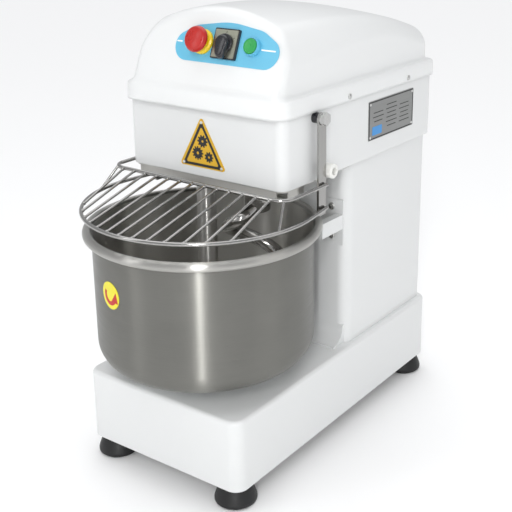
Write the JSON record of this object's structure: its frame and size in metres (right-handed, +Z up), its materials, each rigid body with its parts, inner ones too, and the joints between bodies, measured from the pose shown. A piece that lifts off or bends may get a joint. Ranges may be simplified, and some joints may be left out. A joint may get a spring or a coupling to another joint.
{
  "type": "spiral dough mixer",
  "caption": "Floor-standing commercial dough mixer: a spiral hook and a breaker bar work in a turning steel bowl under a hinged wire guard.",
  "frame": {"origin": "on the floor, at the middle of the whole machine seen from above", "axes": "+Z up; -Y towards the operator, where the bowl and the sloping panel are; +X on the side of the interlock switch, to the right of someone who faces the panel"},
  "size_m": [0.389, 0.683, 0.761],
  "materials": {
    "white_paint": "glossy white powder coat",
    "white_cover": "glossy white moulding",
    "cast_paint": "white enamel over a casting",
    "bowl_steel": "brushed stainless steel",
    "polished_steel": "polished stainless steel",
    "tool_steel": "satin stainless steel",
    "machined_steel": "machined carbon steel",
    "chain_steel": "oiled chain steel",
    "frame_steel": "grey primer on steel plate",
    "zinc_plate": "galvanised sheet",
    "zinc_fastener": "zinc plated",
    "cast_iron": "as cast, machined faces",
    "motor_paint": "motor enamel",
    "aluminium_rivet": "satin",
    "foot_rubber": "matt black moulded rubber",
    "white_rubber": "moulded white rubber",
    "belt_rubber": "matt",
    "black_plastic": "satin black",
    "grey_plastic": "satin grey",
    "red_plastic": "glossy red",
    "yellow_plastic": "glossy yellow",
    "green_plastic": "glossy green",
    "label_film": "printed film",
    "warning_film": "printed film",
    "rating_film": "satin printed plate",
    "scale_plate": "anodised",
    "arrow_film": "printed film"
  },
  "bodies": {
    "machine_frame": {"base_bearing_posts": "cast_iron", "base_casing": "white_paint", "base_chassis_plate": "zinc_plate", "bowl_housing": "cast_iron", "bowl_housing_bolts": "zinc_fastener", "breaker_bar": "tool_steel", "breaker_bar_nut": "zinc_fastener", "cable_gland": "black_plastic", "casing_screws": "zinc_fastener", "column_casing": "white_paint", "column_rear_cover": "white_paint", "contact_blocks": "grey_plastic", "contactor_box": "grey_plastic", "control_label": "label_film", "countershaft_housing": "cast_iron", "drive_belts": "belt_rubber", "drive_chains": "chain_steel", "drive_plate": "frame_steel", "estop_collar": "yellow_plastic", "foot_studs": "zinc_fastener", "guard_bumpers": "white_rubber", "guard_pivot_bolts": "zinc_fastener", "guard_pivot_bushes": "black_plastic", "hazard_plate": "warning_film", "head_casing": "white_paint", "interlock_bolts": "zinc_fastener", "interlock_switch": "white_paint", "motor_fan_cover": "motor_paint", "motor_housing": "motor_paint", "plate_rivets": "aluminium_rivet", "rating_plate": "rating_film", "rubber_feet": "foot_rubber", "selector_bezel": "black_plastic", "selector_plate": "scale_plate", "selector_switch": "grey_plastic", "spindle_housing": "cast_iron", "splash_plate": "bowl_steel", "start_collar": "grey_plastic", "top_cover": "white_cover"},
    "bowl_rotor": {"bowl": "bowl_steel", "turntable": "cast_paint", "turntable_bolts": "zinc_fastener", "bowl_shaft": "machined_steel", "bowl_sprocket": "machined_steel", "bowl_arrow_label": "arrow_film"},
    "dough_tool": {"spindle_shaft": "machined_steel", "spindle_sprocket": "machined_steel", "spiral_hook": "tool_steel"},
    "countershaft_rotor": {"countershaft": "machined_steel", "countershaft_sprockets": "machined_steel", "driven_pulley": "cast_iron"},
    "idler_rotor": {"idler_cluster": "machined_steel"},
    "motor_rotor": {"motor_shaft": "machined_steel", "motor_pulley": "cast_iron"},
    "guard": {"guard_wires": "polished_steel", "guard_arm_left": "polished_steel", "guard_arm_right": "polished_steel"},
    "stop_mushroom": {"estop_button": "red_plastic"},
    "start_plunger": {"start_button": "green_plastic"},
    "mode_knob": {"selector_knob": "black_plastic"}
  },
  "joints": [
    {"name": "bowl_spin", "type": "hinge", "parent": "machine_frame", "child": "bowl_rotor", "pos_m": [0, -0.145, 0.19], "axis": [0, 0, 1], "continuous": true},
    {"name": "tool_spin", "type": "hinge", "parent": "machine_frame", "child": "dough_tool", "pos_m": [0.062, -0.082, 0.478], "axis": [0, 0, 1], "continuous": true},
    {"name": "countershaft_spin", "type": "hinge", "parent": "machine_frame", "child": "countershaft_rotor", "pos_m": [0, 0.08, 0.5], "axis": [0, 0, 1], "continuous": true},
    {"name": "idler_spin", "type": "hinge", "parent": "machine_frame", "child": "idler_rotor", "pos_m": [-0.072, -0.028, 0.09], "axis": [0, 0, 1], "continuous": true},
    {"name": "motor_spin", "type": "hinge", "parent": "machine_frame", "child": "motor_rotor", "pos_m": [0, 0.24, 0.4], "axis": [0, 0, 1], "continuous": true},
    {"name": "guard_tilt", "type": "hinge", "parent": "machine_frame", "child": "guard", "pos_m": [0, -0.061, 0.598], "axis": [-1, 0, 0], "range_deg": [0, 80]},
    {"name": "stop_press", "type": "slide", "parent": "machine_frame", "child": "stop_mushroom", "axis": [0, 0.9272, -0.3746], "range_m": [0, 0.0035], "stiffness_N_per_m": 2200},
    {"name": "start_press", "type": "slide", "parent": "machine_frame", "child": "start_plunger", "axis": [0, 0.9272, -0.3746], "range_m": [0, 0.003], "stiffness_N_per_m": 1200},
    {"name": "mode_turn", "type": "hinge", "parent": "machine_frame", "child": "mode_knob", "pos_m": [0.035, -0.11715, 0.70698], "axis": [0, -0.9272, 0.3746], "range_deg": [-60, 60]}
  ],
  "couplings": [
    {"joint": "tool_spin", "follows": "bowl_spin", "ratio": 9.0909},
    {"joint": "countershaft_spin", "follows": "bowl_spin", "ratio": 12.5},
    {"joint": "idler_spin", "follows": "bowl_spin", "ratio": 4.1667},
    {"joint": "motor_spin", "follows": "bowl_spin", "ratio": 40}
  ]
}
